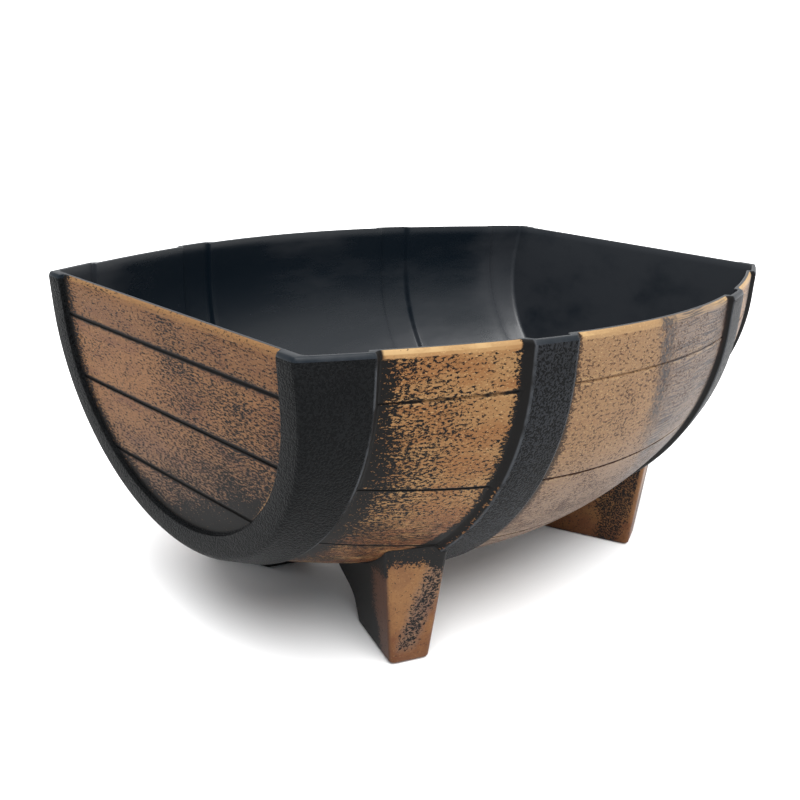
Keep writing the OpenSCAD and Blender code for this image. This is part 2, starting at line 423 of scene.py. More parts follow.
# Paint on the staves, in millimetres. A pair is where something starts and is full, and a third
# number beside it is how ragged that is
staveLook = dict(
    gloss=0.07, roughness=0.50, paintShine=0.06, toneShine=0.12,
    relief=0.8, hairRelief=0.2, thickness=0.00018, bump=0.9, raggedScale=0.30,
    side=(86, 88),  # beyond the middle panel
    high=(128, 150), low=(104, 78),  # up and down the wall
    # how the paint starts beside an end hoop, and beside a middle hoop's outer and inner side
    endFade=(-3, 19, 10), endHigh=8, endLow=6,
    outerFade=(-1, 5, 6), outerLow=(90, 48), outerLoss=15,
    innerFade=(-2, 4, 5), innerLow=(150, 120), innerLoss=3,
    start=(-0.2, 1.0, 2),  # how all paint starts beside a hoop
    thin=(54, 8, 24),  # thinner towards an end hoop
    # the soft dark smudge on the front staves, and the rubbed part beside it, greyer as a painted
    # sheen
    front=(10, -10), smudgeX=5, smudgeLean=0.15, smudgeAround=420,
    smudgeWidth=(12, 0, 30), smudgeHeight=(98, 134), smudgeScale=0.55, smudgeCloud=(0.30, 0.54),
    smudgeStrength=0.9, rubbed=(-10, 14, 14),
    # how much paint there is
    share=0.85, thinBy=0.24, lowBy=0.08, highBy=0.06,
    patchScale=(0.05, 0.09, 1), patchy=0.90, sidePatchy=0.60,
    leastFade=0.30, dashScale=(0.42, 1.25, 1), middleFill=0.15,
    # hairlines as width, length, seed and cover; the long ones are wavy
    short=(0.7, 7, 5, 0.30), shortLow=0.7, shortStrength=0.85,
    long=(0.75, 34, 31, 0.25), longRubbed=0.95, waveScale=(0.022, 0.02, 1), waves=6,
    longStrength=(0.20, 0.55),
    # the grooves, and their lips, painted paler as a painted highlight
    groove=(0.35, 1.0, 1.8), sideGroove=0.25, leastGroove=0.15, highGroove=0.8,
    grooveScale=(0.05, 0.01, 1), grooveBroken=(0.42, 0.58), lowBroken=0.22, rubbedBroken=0.3,
    lipInner=(0.6, 1.0), lipOuter=(1.2, 2.4), lipBroken=(0.45, 0.55),
    # paint that has caught low on a middle hoop's outer flank
    caughtAt=2.4, caughtWidth=(0.4, 1.2, 3), caughtHeight=(112, 104),
    caughtScale=0.60, caughtBroken=(0.55, 0.62),
    # the painted rim between the hoops, its band also painted paler as a painted highlight
    bevelStart=(0.2, 1.6, 1), bandStart=(0.4, 2.2, 2), bandScale=0.7, bandBroken=(0.28, 0.36),
    # tones, and how strong each is; the middle grey is a painted sheen, the glint a painted
    # highlight
    toneScale=(0.03, 0.09, 1), toTan=(0.38, 0.66), middleTan=0.20, toRust=(0.70, 0.40),
    rubbedDust=0.85, middleDust=0.22, lowDust=0.4, dustLow=(125, 85), flecks=0.45,
    glintEnds=(40, 62), glintPatches=(-0.06, 0.06), leastGlint=0.40,
    bandCream=0.25, lipCream=0.3, bareBrown=0.6)


def staveFade(f, z, side, high, low, gaps):
    # black with a few dots of paint beside an end hoop, and low down beside a middle one
    look = staveLook
    fromEnd, fromOuter, fromInner = gaps
    start, full, reach = look["endFade"]
    full = full - look["endHigh"] * high - look["endLow"] * low
    fadeEnd = f.rise(fromEnd + f.fray * reach, start, full)
    lost = look["outerLoss"] * f.span("outerLow", z)
    fadeOuter = f.span("outerFade", fromOuter - lost)
    lost = look["innerLoss"] * f.span("innerLow", z)
    fadeInner = f.span("innerFade", fromInner - lost)
    return side * fadeEnd * fadeOuter + (1 - side) * fadeInner


def staveGrooves(f, grain, around, z, side, high, rubbed, fade):
    # the grooves between the staves, black only in places, and their lips, for a painted highlight
    look = staveLook
    radius, = inPaint("grainRadius")
    first, pitch = (angle * radius for angle in grooveAngles())
    cell = f.maths("PINGPONG", around - first + 4 * pitch, pitch / 2)
    broken = f.streaks(grain, look["grooveScale"], (7, 0, 0), 3, 0.65)
    lower = broken + look["lowBroken"] * f.span("innerLow", z)
    depth = f.span("grooveBroken", lower - look["rubbedBroken"] * rubbed)
    groove = 1 - f.span("groove", cell - look["sideGroove"] * side)
    groove = groove * lifted(look["leastGroove"], depth)
    groove = groove * (1 - look["highGroove"] * high * (1 - side))
    lip = f.span("lipInner", cell) * (1 - f.span("lipOuter", cell))
    return groove, lip * fade * f.span("lipBroken", broken)


def stavePaint():
    look = staveLook
    f = Finish("brushedStaves", look)
    grain = f.grainMap()
    along, around, _ = f.parts(grain)
    place = f.inMillimetres()
    x, y, z = f.parts(place)
    a = abs(x)
    hoopStart, hoopEnd, endHoop = inPaint("hoopStart", "hoopEnd", "endHoopStart")
    f.ragged(place)
    fromEnd, fromOuter, fromInner = endHoop - a, a - hoopEnd, hoopStart - a
    edge = f.larger(fromInner, f.smaller(fromOuter, fromEnd))
    side = f.span("side", a)
    high = f.span("high", z)
    low = f.span("low", z)
    fade = staveFade(f, z, side, high, low, (fromEnd, fromOuter, fromInner))
    thin = side * f.span("thin", fromEnd)

    across = x + look["smudgeX"] - look["smudgeLean"] * (look["smudgeAround"] - around)
    front = f.span("front", y)
    smudge = f.span("smudgeWidth", abs(across)) * f.span("smudgeHeight", z)
    smudge = smudge * front * f.span("smudgeCloud", f.noise(place, look["smudgeScale"], 3, 0.7))
    rubbed = f.span("rubbed", across) * (1 - side) * front

    patches = f.streaks(grain, look["patchScale"], detail=4, rough=0.65) - 0.5
    share = look["share"] - look["thinBy"] * thin + look["lowBy"] * low * side
    share = share + look["highBy"] * high * side
    share = share + (look["patchy"] + (look["sidePatchy"] - look["patchy"]) * side) * patches
    share = f.smaller(share, 1.0) * lifted(look["leastFade"], fade)
    dots = speckled(f, grain, share, 3)
    dashes = speckled(f, f.stretched(grain, look["dashScale"]), share, 8)
    taken = dots * (1 - low * (1 - dashes))
    taken = taken + (1 - taken) * look["middleFill"] * (1 - side)

    short = hairlines(f, grain, look["short"], look["shortLow"] * low)
    waves = f.streaks(grain, look["waveScale"], (3, 1, 0), 2) * look["waves"]
    wavy = f.node("CombineXYZ", {}, {0: along, 1: around + waves, 2: 0.0})
    long = hairlines(f, wavy, look["long"], look["longRubbed"] * rubbed)

    groove, lip = staveGrooves(f, grain, around, z, side, high, rubbed, fade)
    bevel = belowRim(f, z, "bevel") * f.span("bevelStart", edge)
    rimBand = belowRim(f, z + f.fray, "band") * f.span("bandStart", edge)
    caught = 1 - f.span("caughtWidth", abs(fromOuter + look["caughtAt"]))
    caught = caught * f.span("caughtHeight", z) * side
    caught = caught * f.span("caughtBroken", f.noise(place, look["caughtScale"], 2, 0.6))
    paint = taken * (1 - look["shortStrength"] * short) * (1 - groove)
    paint = paint * f.span("start", edge)
    paint = f.larger(paint, rimBand * f.span("bandBroken", f.noise(grain, look["bandScale"])))
    paint = f.larger(paint, caught)

    tone = f.streaks(grain, look["toneScale"], (9, 3, 0), 4, 0.6)
    colour = f.mixed(f.span("toTan", tone + look["middleTan"] * (1 - side)), "copper", "tan")
    # the middle panel painted greyer, more so low down and in the rubbed part: a painted sheen
    dustAndSheen = (1 - side) * (look["middleDust"] + look["lowDust"] * f.span("dustLow", z))
    colour = f.mixed(f.larger(rubbed * look["rubbedDust"], dustAndSheen), colour, "dustAndSheen")
    colour = f.mixed(low * side * f.span("toRust", tone), colour, "rust")
    colour = brushTone(f, grain, colour, 2, look["flecks"])
    # a painted highlight along the rim's bevel, in the gold colour
    glint = lifted(look["leastGlint"], f.span("glintPatches", patches))
    glint = bevel * f.span("glintEnds", a) * glint
    # the band below the rim and the grooves' lips painted paler: a painted highlight
    pale = f.larger(rimBand * look["bandCream"], lip * look["lipCream"])
    colour = f.mixed(pale, colour, "cream")
    colour = f.mixed(glint, colour, "bare")
    least, more = look["longStrength"]
    dark = f.larger(long * (least + more * rubbed), smudge * look["smudgeStrength"])
    colour = f.mixed(dark, colour, "smudge")
    bare = f.mixed((1 - side) * fade * look["bareBrown"], "charcoal", "brown")
    # unpainted plastic, with a painted highlight along the hoops' crests
    colour = f.mixed(paint, crestHighlightAndWear(f, a, bare), colour)
    roughness = look["roughness"] - look["paintShine"] * paint + look["toneShine"] * (tone - 0.5)
    return f.done(colour, roughness, paint * look["relief"] - long * look["hairRelief"])


# Paint on the heads
headLook = dict(
    gloss=0.07, roughness=0.54, paintShine=0.05, toneShine=0.10,
    relief=0.7, thickness=0.00018, bump=0.9, raggedScale=0.25,
    near=(46, -62),  # towards the front
    low=(138, 66), lowLean=0.16, lowest=(80, 70, 6), top=(152, 162),
    # less paint in the lower corner beside the front
    cornerWidth=(20, 4, 12), cornerHeight=(112, 92), cornerSide=(10, -20), cornerBy=0.85,
    # a loose cluster of specks in the middle of the two top planks
    clusterY=8, clusterWidth=(20, 4, 30), clusterHeight=(128, 140),
    fade=(-2, 12, 8), fadeNear=10, lowestBy=0.6, leastFade=0.15,  # how it starts beside the ring
    share=0.89, nearBy=0.20, topNear=0.5, lowBy=0.26, clusterBy=0.12,
    patchScale=(0.04, 0.08, 1), patchy=0.60,
    speckScale=(0.65, 1.1, 1), speckSize=0.76,
    hairs=(0.7, 13, 17, 0.45), hairsNear=0.25, hairStrength=0.65,
    groove=(0.8, 2.2, 2.5),  # black in the grooves between the planks
    # specks of paint on the ring's inner edge
    sprayAt=0.9, sprayWidth=(1.2, 0.5, 2.2), spraySide=(0, -30), sprayHeight=(92, 104),
    bandEnd=(50, 10, 60), bandScale=0.9, bandBroken=(0.40, 0.48),
    # tones, and how strong each is; the tan on the bevel and the band is a painted highlight
    toneScale=(0.03, 0.10, 1), toCopper=(0.22, 0.58), dust=0.06, lowDust=0.40,
    brown=0.02, topBrown=0.28, lowBrown=0.35, flecks=0.25, bevelTan=0.6, bandTan=0.35)


def headPaint():
    look = headLook
    f = Finish("brushedHead", look)
    grain = f.grainMap()
    place = f.inMillimetres()
    _, y, z = f.parts(place)
    # distance from the ring, along the head
    drop = f.smaller(z - ringZ * perMetre, 0) / leanCos
    gap = headRadius * perMetre - f.maths("SQRT", y * y + drop * drop)
    f.ragged(place)
    near = f.span("near", y)
    low = f.span("low", z + look["lowLean"] * y)
    lowest = f.span("lowest", z)
    top = f.span("top", z)
    corner = f.span("cornerWidth", gap) * f.span("cornerHeight", z)
    corner = corner * f.span("cornerSide", y)
    cluster = f.span("clusterWidth", abs(y + look["clusterY"]))
    cluster = cluster * f.span("clusterHeight", z)

    start, full, reach = look["fade"]
    fade = f.rise(gap + f.fray * reach, start, full - look["fadeNear"] * near)
    fade = fade * (1 - look["cornerBy"] * corner) * (1 - look["lowestBy"] * lowest)
    patches = f.streaks(grain, look["patchScale"], (1.4, 0, 0), 4, 0.65) - 0.5
    share = look["share"] - look["nearBy"] * near * (1 - look["topNear"] * top)
    share = share - look["lowBy"] * low - look["clusterBy"] * cluster + look["patchy"] * patches
    share = f.smaller(share, 1.0) * lifted(look["leastFade"], fade)
    taken = speckled(f, f.stretched(grain, look["speckScale"]), share, 17, look["speckSize"])
    hair = hairlines(f, grain, look["hairs"], look["hairsNear"] * near)
    taken = taken * (1 - look["hairStrength"] * hair)

    groove = 0.0
    for height in moulding["plankLines"]:
        line = 1 - f.span("groove", abs(z - height * perMetre))
        groove = f.larger(groove, line)
    bevel = belowRim(f, z, "bevel")
    rimBand = belowRim(f, z + f.fray, "band") * f.span("bandEnd", y)
    spray = f.span("sprayWidth", abs(gap - look["sprayAt"]))
    spray = spray * f.span("spraySide", y) * f.span("sprayHeight", z)
    extra = f.larger(rimBand, spray) * f.span("bandBroken", f.noise(grain, look["bandScale"]))
    paint = f.larger(taken * (1 - groove), extra)

    tone = f.streaks(grain, look["toneScale"], (4, 1, 0), 4, 0.6)
    colour = f.mixed(f.span("toCopper", tone), "rust", "copper")
    colour = f.mixed(look["dust"] + low * look["lowDust"], colour, "dustAndSheen")
    colour = f.mixed(look["brown"] + top * look["topBrown"], colour, "brown")
    colour = f.mixed(low * look["lowBrown"], colour, "brown")
    colour = brushTone(f, grain, colour, 5, look["flecks"])
    # the bevel and the band below the rim painted tan: a painted highlight; the spray beside the
    # ring is paint
    pale = f.larger(bevel * look["bevelTan"], rimBand * look["bandTan"])
    colour = f.mixed(f.larger(pale, spray), colour, "tan")
    colour = f.mixed(paint, "charcoal", colour)
    roughness = look["roughness"] - look["paintShine"] * paint + look["toneShine"] * (tone - 0.5)
    return f.done(colour, roughness, paint * look["relief"])


# Hoops and rings: black, embossed like leather; paler at the ends, most of all at the right one
grainedLook = dict(
    gloss=0.04, roughness=0.44, dustShine=0.12, thickness=0.00036, bump=0.9,
    cells=0.95, pits=(0.40, 0.60), fine=2.2, fineRelief=0.4,  # the leather's cells and grit
    dust=0.03, raised=(0.35, 0.7), leastRaised=0.5,
    # at the right end: paler and lighter grey, a painted glare, partly dust
    pale=(150, 115), paleEnd=(120, 170), scuffedEnd=(120, 175), scuffAndHighlight=0.18)


def grainedPlastic():
    look = grainedLook
    f = Finish("grainedPlastic", look)
    place = f.inMillimetres()
    x, _, _ = f.parts(place)
    a = abs(x)
    dustAndSheen = f.noise(place, look["dust"])
    pits = f.span("pits", f.noise(place, look["cells"], 1))
    # paler on the middle hoops; at the right end paler and lighter grey, a painted glare
    pale = f.larger(f.span("pale", a), f.span("paleEnd", x))
    raised = f.mixed(pale, "slate", "slateDustAndSheen")
    raised = f.mixed(f.span("scuffedEnd", x) * look["scuffAndHighlight"], raised, "scuffAndHighlight")
    colour = f.mixed(pits * lifted(look["leastRaised"], f.span("raised", dustAndSheen)), "pit", raised)
    roughness = look["roughness"] + look["dustShine"] * (dustAndSheen - 0.5)
    height = pits + f.noise(place, look["fine"], 2) * look["fineRelief"]
    # with a painted highlight along the hoops' crests
    return f.done(crestHighlightAndWear(f, a, colour), roughness, height)


# The inside and the floor of the tub; paler towards the ends, and low down as a painted reflection
insideLook = dict(
    gloss=0.50, roughness=0.27, cloudShine=0.14, scuffShine=0.08, wornShine=0.10,
    thickness=0.00004, bump=0.5, ripple=1.4,
    cloudScale=(0.007, 0.02, 0.03), scuffScale=(0.05, 0.5, 0.5),
    dustEnds=(140, 176), endDust=0.55, dustLow=(120, 70), lowDust=0.5,
    worn=(0.42, 0.82), dustWorn=0.5)


def smoothPlastic():
    look = insideLook
    f = Finish("smoothPlastic", look)
    place = f.inMillimetres()
    x, _, z = f.parts(place)
    cloud = f.streaks(place, look["cloudScale"], detail=4, rough=0.6)
    scuff = f.streaks(place, look["scuffScale"], rough=0.7)
    # paler towards the ends, and low down paler as a painted reflection
    dust = f.larger(f.span("dustEnds", abs(x)) * look["endDust"],
                    f.span("dustLow", z) * look["lowDust"])
    worn = f.span("worn", cloud + dust * look["dustWorn"])
    roughness = look["roughness"] + look["cloudShine"] * (cloud - 0.5)
    roughness = roughness + look["scuffShine"] * (scuff - 0.5) + look["wornShine"] * worn
    height = f.noise(place, look["ripple"], 2)
    return f.done(f.mixed(worn, "inside", "insideWornAndSheen"), roughness, height)


# The flat top of the rim
rimLook = dict(gloss=0.20, roughness=0.42, cloudShine=0.16, thickness=0.00005, bump=0.5,
               ripple=1.4, cloud=0.05, scuffAndHighlight=(0.40, 0.70), scuffs=0.30)


def rimPlastic():
    look = rimLook
    f = Finish("rimPlastic", look)
    place = f.inMillimetres()
    cloud = f.noise(place, look["cloud"], 4, 0.6)
    share = f.span("scuffAndHighlight", cloud) * look["scuffs"]
    roughness = look["roughness"] + look["cloudShine"] * (cloud - 0.5)
    height = f.noise(place, look["ripple"], 2)
    return f.done(f.mixed(share, "inside", "scuffAndHighlight"), roughness, height)


# Paint on the legs
legLook = dict(
    gloss=0.12, roughness=0.50, paintShine=0.06,
    relief=0.7, thickness=0.00012, bump=0.8, raggedScale=0.25,
    front=(12, 14, 2), inner=(2, -2),  # away from the middle of the front, and on the inner side
    # a diagonal cloud of black on the front, black at the top, and a patch on the inner side
    cloudX=6.6, cloudLean=0.30, cloudWidth=(9, 2, 9), cloudHeight=(4, 12), cloudBy=0.46,
    top=(53, 62, 12), topLean=0.15, topBy=0.85, frontShare=1.06,
    patchAt=30, patchLean=0.25, patchWidth=(15, 5, 14), patchBy=0.38,
    innerTop=(50, 62, 10), innerTopBy=0.8, innerShare=0.95,
    outerEnd=(36, 22, 5), outerTop=(46, 58, 10), outerTopBy=0.9,
    speckSize=0.85,
    # tones, and how strong each is
    toneScale=0.08, toCopper=(0.3, 0.65), toTan=(22, 44), tan=0.25, toRust=(22, 4), rust=0.55,
    flecks=0.12, cloudDust=0.4, innerCopper=0.9)


def legPaint():
    look = legLook
    f = Finish("brushedLegs", look)
    place = f.inMillimetres()
    _, _, z = f.parts(place)
    across, outward, away = (f.attribute(name) for name in ("across", "outward", "away"))
    f.ragged(place)
    front = 1 - f.span("front", away)
    inner = f.span("inner", outward)
    cloud = f.span("cloudWidth", abs(across - look["cloudLean"] * z + look["cloudX"]))
    cloud = cloud * f.span("cloudHeight", z)
    top = f.span("top", z + across * look["topLean"])
    frontShare = look["frontShare"] - look["cloudBy"] * cloud - look["topBy"] * top
    patch = f.span("patchWidth", abs(away - look["patchAt"] + look["patchLean"] * z))
    innerTop = f.span("innerTop", z)
    innerShare = look["innerShare"] - look["patchBy"] * patch - look["innerTopBy"] * innerTop
    outerTop = f.span("outerTop", z)
    outerShare = f.span("outerEnd", away) - look["outerTopBy"] * outerTop
    sideShare = inner * innerShare + (1 - inner) * outerShare
    share = front * frontShare + (1 - front) * sideShare
    speck = speckled(f, place, f.larger(share, 0.0), 11, look["speckSize"])

    tone = f.noise(place, look["toneScale"], 3, 0.6)
    colour = f.mixed(f.span("toCopper", tone), "rust", "copper")
    colour = f.mixed(f.span("toTan", z - across) * look["tan"], colour, "tan")
    colour = f.mixed(f.span("toRust", z) * look["rust"], colour, "rust")
    colour = brushTone(f, place, colour, 7, look["flecks"])
    colour = f.mixed(cloud * front * look["cloudDust"], colour, "dustAndSheen")
    colour = f.mixed(f.larger(front, inner * look["innerCopper"]), "brown", colour)
    roughness = look["roughness"] - look["paintShine"] * speck
    return f.done(f.mixed(speck, "charcoal", colour), roughness, speck * look["relief"])


# The tub

moulding = dict(
    coarse=0.004, fine=0.0005, margin=0.001,  # spacing of its rows along the barrel
    overrun=0.004,  # the wall goes this far past the ends before it is cut
    uprightRows=(0.0105, 0.0065),  # rows so far below the rim
    staves=8, firstGroove=2.5, grooveWidth=0.0012, grooveDepth=0.0006, grooveEnd=0.001,
    staveSteps=12, grooveSteps=6, sideSteps=3, innerSteps=96,
    # (height below the rim, how far the edge is drawn in)
    rimOuter=((0.0020, 0.0), (0.00040, 0.00095), (0.00012, 0.00125), (0.0, 0.0016)),
    rimInner=((0.0005, 0.0), (0.00015, -0.00015), (0.0, -0.0004)),
    ringWidth=0.012, ringRound=0.002, ringInnerRound=0.0006, roundSteps=5,
    headDepth=0.0023, headFillet=0.0003, headBorder=0.001,
    filletRound=0.002,  # where the inside meets the head's back
    taperSpan=0.01,  # stretch over which the taper at the ends is measured
    plankLines=(0.159, 0.127, 0.0935), plankGroove=0.0018, plankCuts=(-1, -0.55, 0, 0.55, 1),
    drainDiameter=0.008, drainSegments=32, drillLength=0.03, drillHeight=0.022,
    drainPlaces=((0, 0), (0.045, 0.022), (-0.045, 0.022), (0.045, -0.022), (-0.045, -0.022)))


def grooveAngles():
    # from the axis down to the first groove, and from one groove to the next
    first = radians(moulding["firstGroove"])
    return first, (pi - 2 * first) / moulding["staves"]


def fineZones(starts, width):
    # where a hoop steps up or down, its rows lie close together
    margin = moulding["margin"]
    return [(start - margin, start + width + margin) for start in starts]


def wallRows(bm, radius, zones, arcs, rimSteps):
    # spins a profile half way round below the axis, and carries both its edges up to the rim
    reach = barrel["halfLength"] + moulding["overrun"]
    xs = placesAlong(zones, reach, moulding["coarse"], moulding["fine"])
    verts, edges = rowOf(bm, [(x, radius(x), axisZ) for x in xs])
    first = (verts, edges)
    for angle, steps in arcs:
        spun = bmesh.ops.spin(bm, geom=verts + edges, cent=(0, 0, axisZ), axis=(1, 0, 0),
                              angle=-angle, steps=steps)
        verts, edges = vertsIn(spun["geom_last"]), edgesIn(spun["geom_last"])
    levels = tuple((drop, 0) for drop in moulding["uprightRows"]) + rimSteps
    for side, (row, rowEdges) in ((1, first), (-1, (verts, edges))):
        for drop, inset in levels:
            places = [(v.co.x, side * (radius(v.co.x) - inset), barrel["rim"] - drop) for v in row]
            row, rowEdges = extrudeRow(bm, row, rowEdges, places)


def planeX(z):
    # the end's leaning plane
    return barrel["halfLength"] - leanTan * (barrel["rim"] - z)


# The ring and the head are half discs in that plane, drawn round a point a little below the axis
ringRadius = outerRadius(planeX(axisZ))
ringDrop = outerRadius(planeX(axisZ - ringRadius)) / leanCos - ringRadius
ringZ = axisZ - ringDrop * leanCos
headRadius = ringRadius - moulding["ringWidth"]


def taperAt(radius, x):
    # how much the wall draws in for each step towards the end
    span = moulding["taperSpan"]
    return (radius(x - span) - radius(x)) / span


def insetAt(z, rimSteps):
    # how far the rim's bevel has drawn in at a height
    for drop, inset in rimSteps:
        if abs(barrel["rim"] - drop - z) < nearness["height"]:
            return inset
    return 0.0


def closeEnd(bm, side, depth, rounding, rimSteps, taper, levels):
    # cuts the wall at a leaning plane, and turns its edge inwards round an arc and over the levels
    cutX = side * (barrel["halfLength"] + (depth - rounding) / leanCos)
    cut = bmesh.ops.bisect_plane(
        bm, geom=bm.verts[:] + bm.edges[:] + bm.faces[:], dist=nearness["cut"],
        plane_co=(cutX, 0, barrel["rim"]),
        plane_no=(side * leanCos, 0, -leanCos * leanTan), clear_outer=True)
    edges = edgesIn(cut["geom_cut"])

    def turn(v):
        angle = atan2(axisZ - v.co.z, v.co.y)
        return angle if angle > -pi / 2 else angle + 2 * pi
    row = sorted(vertsIn(cut["geom_cut"]), key=turn)
    base = []
    for v in row:
        s = (v.co.z - ringZ) / leanCos
        if s > 0:
            base.append((1 if v.co.y > 0 else -1, 0, s, abs(v.co.y), insetAt(v.co.z, rimSteps)))
        else:
            reach = hypot(v.co.y, s)
            base.append((v.co.y / reach, s / reach, 0, reach, 0.0))

    def places(step):
        found = []
        for wayY, wayS, lift, reach, inset in base:
            outward, across = step(reach, inset)
            z = ringZ + (lift + wayS * across) * leanCos
            found.append((side * (planeX(z) + outward / leanCos), wayY * across, z))
        return found
    for k in range(1, moulding["roundSteps"] + 1):
        angle = pi / 2 * k / moulding["roundSteps"]
        row, edges = extrudeRow(bm, row, edges, places(lambda reach, inset: (
            depth - rounding + (rounding - inset) * sin(angle),
            reach - (rounding - inset) * (1 - cos(angle) + taper * sin(angle)))))
    for outward, across in levels:
        row, edges = extrudeRow(bm, row, edges, places(
            lambda reach, inset: (outward - inset, across)))
    return row, edges


def borderPlace(v, side):
    # a place on a head's border, which keeps the strips below it level
    low = min((v.co.z - ringZ) / leanCos, 0)
    reach = hypot(v.co.y, low)
    share = (reach - moulding["headBorder"]) / reach
    z = ringZ + low * share * leanCos if low < 0 else v.co.z
    return v.co.x + side * (planeX(z) - planeX(v.co.z)), v.co.y * share, z


def fillHead(bm, row, edges, finish):
    # bridges the two sides of the D with level strips
    middle = len(row) // 2
    left, right = set(row[:middle]), set(row[middle + 1:])
    sides = [e for e in edges if set(e.verts) <= left or set(e.verts) <= right]
    made = bmesh.ops.bridge_loops(bm, edges=sides)["faces"]
    made += bmesh.ops.contextual_create(bm, geom=row[middle - 1:middle + 2])["faces"]
    for face in made:
        face.material_index = faceNumbers[finish]


def grooveProfile(t):
    # depth share across a groove, for t from -1 to 1
    return max(0.0, 1 - t * t) ** 0.5


def sinkGrooves(bm):
    # the grooves between the staves, which end in the hoops' edges
    first, pitch = grooveAngles()
    half = moulding["grooveWidth"] / barrel["bellyRadius"] / 2
    end = moulding["grooveEnd"]
    for v in bm.verts:
        if v.co.z <= axisZ:
            angle = atan2(axisZ - v.co.z, v.co.y)
            nearest = first + round((angle - first) / pitch) * pitch
            share = clampShare((fromHoop(v.co.x) + end) / end)
            share *= grooveProfile((angle - nearest) / half)
            radial = Vector((0, v.co.y, v.co.z - axisZ)).normalized()
            v.co -= radial * moulding["grooveDepth"] * share


def numberWall(bm):
    # staves between the hoops, grained plastic on the hoops, and the rim's own above them
    for face in bm.faces:
        centre = face.calc_center_median()
        onHoop = fromHoop(centre.x) < -barrel["hoopEdge"]
        onBevel = centre.z > barrel["rim"] - moulding["rimOuter"][0][0]
        kind = "staves" if not onHoop else "rim" if onBevel else "grained"
        face.material_index = faceNumbers[kind]


def cutPlanks(bm):
    # rounded grooves between the planks of both heads
    half = moulding["plankGroove"] / 2
    for line in moulding["plankLines"]:
        for share in moulding["plankCuts"]:
            faces = [f for f in bm.faces if f.material_index == faceNumbers["head"]]
            edges = {e for f in faces for e in f.edges}
            verts = {v for f in faces for v in f.verts}
            bmesh.ops.bisect_plane(bm, geom=faces + list(edges) + list(verts), dist=nearness["cut"],
                                   plane_co=(0, 0, line + share * half), plane_no=(0, 0, 1))
        for v in {v for f in bm.faces if f.material_index == faceNumbers["head"] for v in f.verts}:
            t = (v.co.z - line) / half
            if abs(t) < 0.9:  # a groove's two edges stay where they are
                v.co.x -= (1 if v.co.x > 0 else -1) * half * grooveProfile(t)


def addInside(bm):
    # the inner wall and the backs of the heads
    b, m = barrel, moulding
    starts = (b["hoopStart"] + hoopInset, b["hoopEnd"] - hoopInset - b["innerEdge"],
              b["endHoopStart"] + hoopInset - b["innerEdge"])
    inner = bmesh.new()
    wallRows(inner, innerRadius, fineZones(starts, b["innerEdge"]), [(pi, m["innerSteps"])],
             m["rimInner"])
    taper = taperAt(innerRadius, b["halfLength"] - m["taperSpan"])
    for side in (1, -1):
        row, edges = closeEnd(inner, side, -m["headDepth"] - b["wall"], m["filletRound"],
                              m["rimInner"], taper, [])
        fillHead(inner, row, edges, "smooth")
    nameFaces(inner, "smooth")
    shell = meshFrom(inner, "innerShell")
    bm.from_mesh(shell)
    bpy.data.meshes.remove(shell)


def makeTub():
    b, m = barrel, moulding
    first, pitch = grooveAngles()
    groove = m["grooveWidth"] / b["bellyRadius"]
    arcs = [(first - groove / 2, m["sideSteps"]), (groove, m["grooveSteps"])]
    for _ in range(m["staves"]):
        arcs += [(pitch - groove, m["staveSteps"]), (groove, m["grooveSteps"])]
    arcs.append((first - groove / 2, m["sideSteps"]))
    starts = (b["hoopStart"], b["hoopEnd"] - b["hoopEdge"], b["endHoopStart"])

    bm = bmesh.new()
    wallRows(bm, outerRadius, fineZones(starts, b["hoopEdge"]), arcs, m["rimOuter"])
    sinkGrooves(bm)
    numberWall(bm)
    edge, fillet, depth = m["ringInnerRound"], m["headFillet"], m["headDepth"]
    ringLevels = [(0, headRadius + edge), (-edge * 0.3, headRadius + edge * 0.3),
                  (-edge, headRadius), (-depth + fillet, headRadius), (-depth, headRadius - fillet)]
    taper = taperAt(outerRadius, b["halfLength"])
    for side in (1, -1):
        row, edges = closeEnd(bm, side, 0, m["ringRound"], m["rimOuter"], taper, ringLevels)
        nameFaces(bm, "grained")
        row, edges = extrudeRow(bm, row, edges, [borderPlace(v, side) for v in row])
        nameFaces(bm, "head")
        fillHead(bm, row, edges, "head")
    cutPlanks(bm)
    addInside(bm)
    # the rim's flat top joins the two
    rimEdges = [e for e in bm.edges if e.is_boundary
                and all(v.co.z > b["rim"] - nearness["merge"] for v in e.verts)]
    bmesh.ops.triangle_fill(bm, use_beauty=True, edges=rimEdges, normal=(0, 0, 1))
    nameFaces(bm, "rim")
    print("open edges on the tub:", sum(e.is_boundary for e in bm.edges))
    return bm


def cutDrains(piece):
    # drilled with cylinders
    bm = bmesh.new()
    for x, y in moulding["drainPlaces"]:
        bmesh.ops.create_cone(
            bm, cap_ends=True, segments=moulding["drainSegments"], depth=moulding["drillLength"],
            radius1=moulding["drainDiameter"] / 2, radius2=moulding["drainDiameter"] / 2,
            matrix=Matrix.Translation((x, y, moulding["drillHeight"])))
    drill = putInScene("drill", meshFrom(bm, "drill"))
    cut = piece.modifiers.new("drains", "BOOLEAN")
    cut.object, cut.operation, cut.solver = drill, "DIFFERENCE", "EXACT"
    drilled = bpy.data.meshes.new_from_object(
        piece.evaluated_get(bpy.context.evaluated_depsgraph_get()))
    piece.modifiers.clear()
    old, piece.data = piece.data, drilled
    drilled.name = old.name + "Drilled"
    bpy.data.meshes.remove(old)
    bpy.data.objects.remove(drill)


def mapGrain(piece):
    # lays the grain along the staves, and level on the heads
    mesh = piece.data
    grain = mesh.uv_layers.new(name="grain")
    radius = barrel["grainRadius"]
    for face in mesh.polygons:
        for corner in face.loop_indices:
            x, y, z = mesh.vertices[mesh.loops[corner].vertex_index].co
            if face.material_index == faceNumbers["head"] - 1:
                place = (y, z)
            elif z > axisZ:
                place = (x, axisZ - z if y > 0 else radius * pi + z - axisZ)
            else:
                place = (x, radius * atan2(axisZ - z, y))
            grain.uv[corner].vector = place


